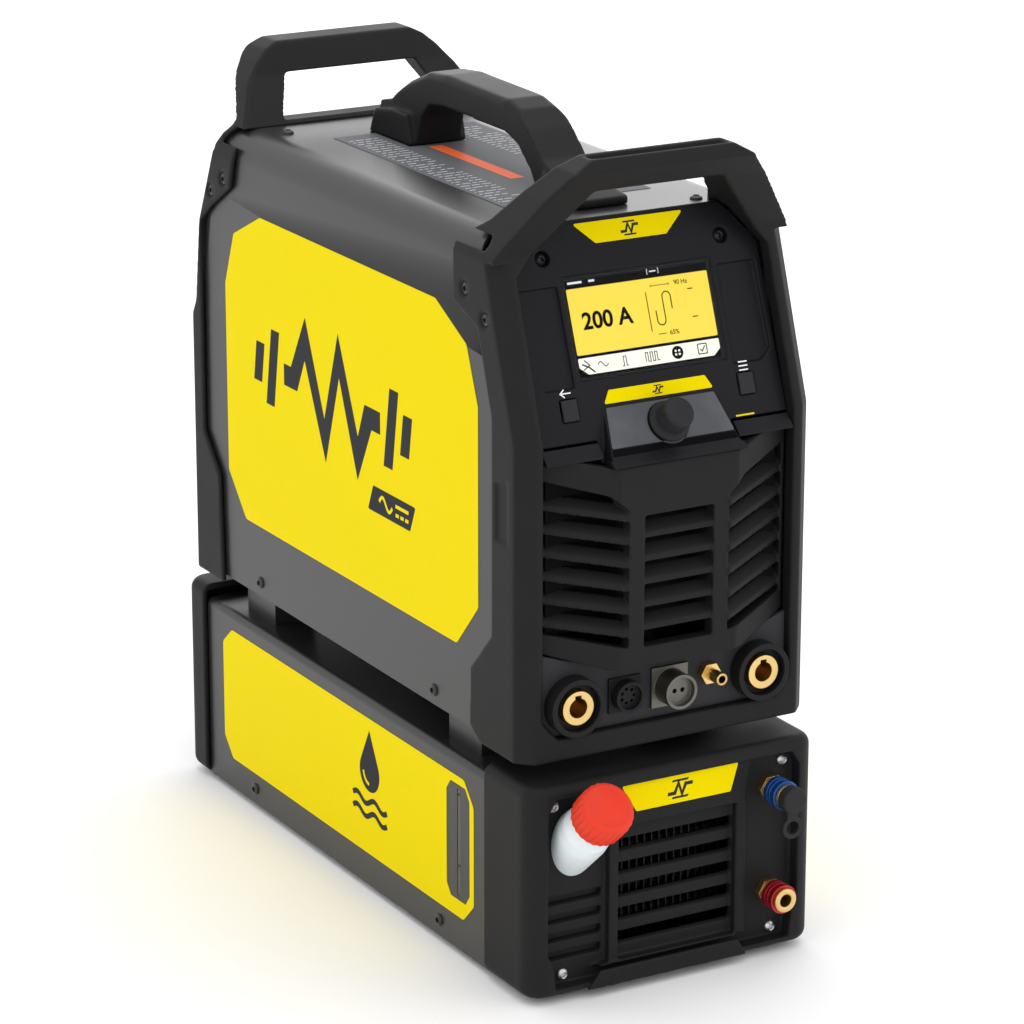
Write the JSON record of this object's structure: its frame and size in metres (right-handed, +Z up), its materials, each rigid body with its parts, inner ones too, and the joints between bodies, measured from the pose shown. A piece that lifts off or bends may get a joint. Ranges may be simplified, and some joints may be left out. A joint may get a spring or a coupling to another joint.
{
  "type": "tig welder",
  "caption": "Portable inverter TIG power source with tilted display panel and carry handles, standing on its matching water cooler.",
  "frame": {"origin": "centre of the outer box, on the plane the rubber feet stand on", "axes": "+X to the right seen from the front, front panel faces -Y, +Z up"},
  "size_m": [0.229, 0.6012, 0.581],
  "materials": {
    "frame_plastic": "fine moulded grain, satin",
    "panel_plastic": "fine moulded grain, satin",
    "case_paint": "dark grey powder coat, satin",
    "yellow_decal": "printed film, satin",
    "dark_label": "printed film",
    "black_rubber": "moulded rubber",
    "brass": "machined",
    "steel": "turned",
    "grey_metal": "plated, dull",
    "aluminium": "extruded",
    "black_screws": "blackened steel",
    "socket_plastic": "moulded",
    "knob_plastic": "soft touch",
    "key_plastic": "soft touch",
    "white_plastic": "translucent blow-moulded",
    "red_plastic": "moulded",
    "blue_anodised": "anodised",
    "red_anodised": "anodised",
    "clear_plastic": "clear strip",
    "display_glass": "gloss cover glass",
    "display_module": "lit screen",
    "circuit_board": "solder resist",
    "copper_windings": "enamelled wire"
  },
  "bodies": {
    "case": {"arc_starter": "socket_plastic", "base_pan": "case_paint", "cable_gland": "socket_plastic", "carry_handle": "frame_plastic", "case_cover": "case_paint", "case_decals": "yellow_decal", "case_fan_housing": "socket_plastic", "case_screws": "black_screws", "connector_panel": "panel_plastic", "control_panel": "panel_plastic", "coolant_tank": "panel_plastic", "cooler_base": "case_paint", "cooler_cover": "case_paint", "cooler_decals": "yellow_decal", "cooler_fan_housing": "socket_plastic", "cooler_front_bezel": "frame_plastic", "cooler_rear_bezel": "frame_plastic", "cooler_socket": "socket_plastic", "display_module": "display_module", "display_window": "display_glass", "docking_brackets": "case_paint", "encoder_body": "steel", "filler_neck": "white_plastic", "front_frame": "frame_plastic", "front_grille": "frame_plastic", "front_labels": "yellow_decal", "gas_inlet": "brass", "gas_outlet": "brass", "gas_valve": "grey_metal", "heat_sink": "aluminium", "inlet_coupling": "brass", "level_window": "clear_plastic", "main_transformer": "copper_windings", "mains_switch_body": "socket_plastic", "outlet_coupling": "brass", "panel_board": "circuit_board", "panel_screws": "black_screws", "power_board": "circuit_board", "pump": "aluminium", "radiator": "aluminium", "rear_frame": "frame_plastic", "rear_panel": "case_paint", "remote_socket": "socket_plastic", "rubber_feet": "black_rubber", "top_label": "dark_label", "trigger_socket": "grey_metal", "weld_socket_flanges": "socket_plastic", "weld_socket_inserts": "brass"},
    "encoder_shaft": {"encoder_shaft": "steel"},
    "encoder_knob": {"encoder_knob": "knob_plastic"},
    "back_key": {"back_key": "key_plastic"},
    "menu_key": {"menu_key": "key_plastic"},
    "cap_seal": {"cap_seal": "black_rubber"},
    "filler_cap": {"filler_cap": "red_plastic"},
    "outlet_collar": {"outlet_collar": "blue_anodised"},
    "inlet_collar": {"inlet_collar": "red_anodised"},
    "dust_cap": {"dust_cap": "black_rubber"},
    "mains_switch_knob": {"mains_switch_knob": "knob_plastic"},
    "case_fan_rotor": {"case_fan_rotor": "socket_plastic"},
    "cooler_fan_rotor": {"cooler_fan_rotor": "socket_plastic"}
  },
  "joints": [
    {"name": "knob_press", "type": "slide", "parent": "case", "child": "encoder_shaft", "axis": [0, 0.788, -0.6157], "range_m": [0, 0.0008], "stiffness_N_per_m": 1500},
    {"name": "knob_turn", "type": "hinge", "parent": "encoder_shaft", "child": "encoder_knob", "pos_m": [0, -0.237, 0.3944], "axis": [0, -0.788, 0.6157], "continuous": true},
    {"name": "back_key_press", "type": "slide", "parent": "case", "child": "back_key", "axis": [0, 0.9354, -0.3535], "range_m": [0, 0.0008], "stiffness_N_per_m": 1000},
    {"name": "menu_key_press", "type": "slide", "parent": "case", "child": "menu_key", "axis": [0, 0.9354, -0.3535], "range_m": [0, 0.0008], "stiffness_N_per_m": 1000},
    {"name": "cap_lift", "type": "slide", "parent": "case", "child": "cap_seal", "axis": [0, -0.7431, 0.6691], "range_m": [0, 0.006]},
    {"name": "cap_turn", "type": "hinge", "parent": "cap_seal", "child": "filler_cap", "pos_m": [-0.074, -0.244, 0.112], "axis": [0, -0.7431, 0.6691], "range_deg": [0, 550]},
    {"name": "outlet_collar_slide", "type": "slide", "parent": "case", "child": "outlet_collar", "axis": [0, 1, 0], "range_m": [0, 0.0033], "stiffness_N_per_m": 800},
    {"name": "inlet_collar_slide", "type": "slide", "parent": "case", "child": "inlet_collar", "axis": [0, 1, 0], "range_m": [0, 0.0033], "stiffness_N_per_m": 800},
    {"name": "dust_cap_pull", "type": "slide", "parent": "case", "child": "dust_cap", "axis": [0, -1, 0], "range_m": [0, 0.03]},
    {"name": "mains_switch_turn", "type": "hinge", "parent": "case", "child": "mains_switch_knob", "pos_m": [0.055, 0.26, 0.448], "axis": [0, 1, 0], "range_deg": [0, 90]},
    {"name": "case_fan_spin", "type": "hinge", "parent": "case", "child": "case_fan_rotor", "pos_m": [0, 0.234, 0.3], "axis": [0, 1, 0], "continuous": true},
    {"name": "cooler_fan_spin", "type": "hinge", "parent": "case", "child": "cooler_fan_rotor", "pos_m": [0.01, -0.178, 0.078], "axis": [0, 1, 0], "continuous": true}
  ],
  "couplings": [
    {"joint": "cap_turn", "follows": "cap_lift", "rad_per_m": 1570.8}
  ]
}
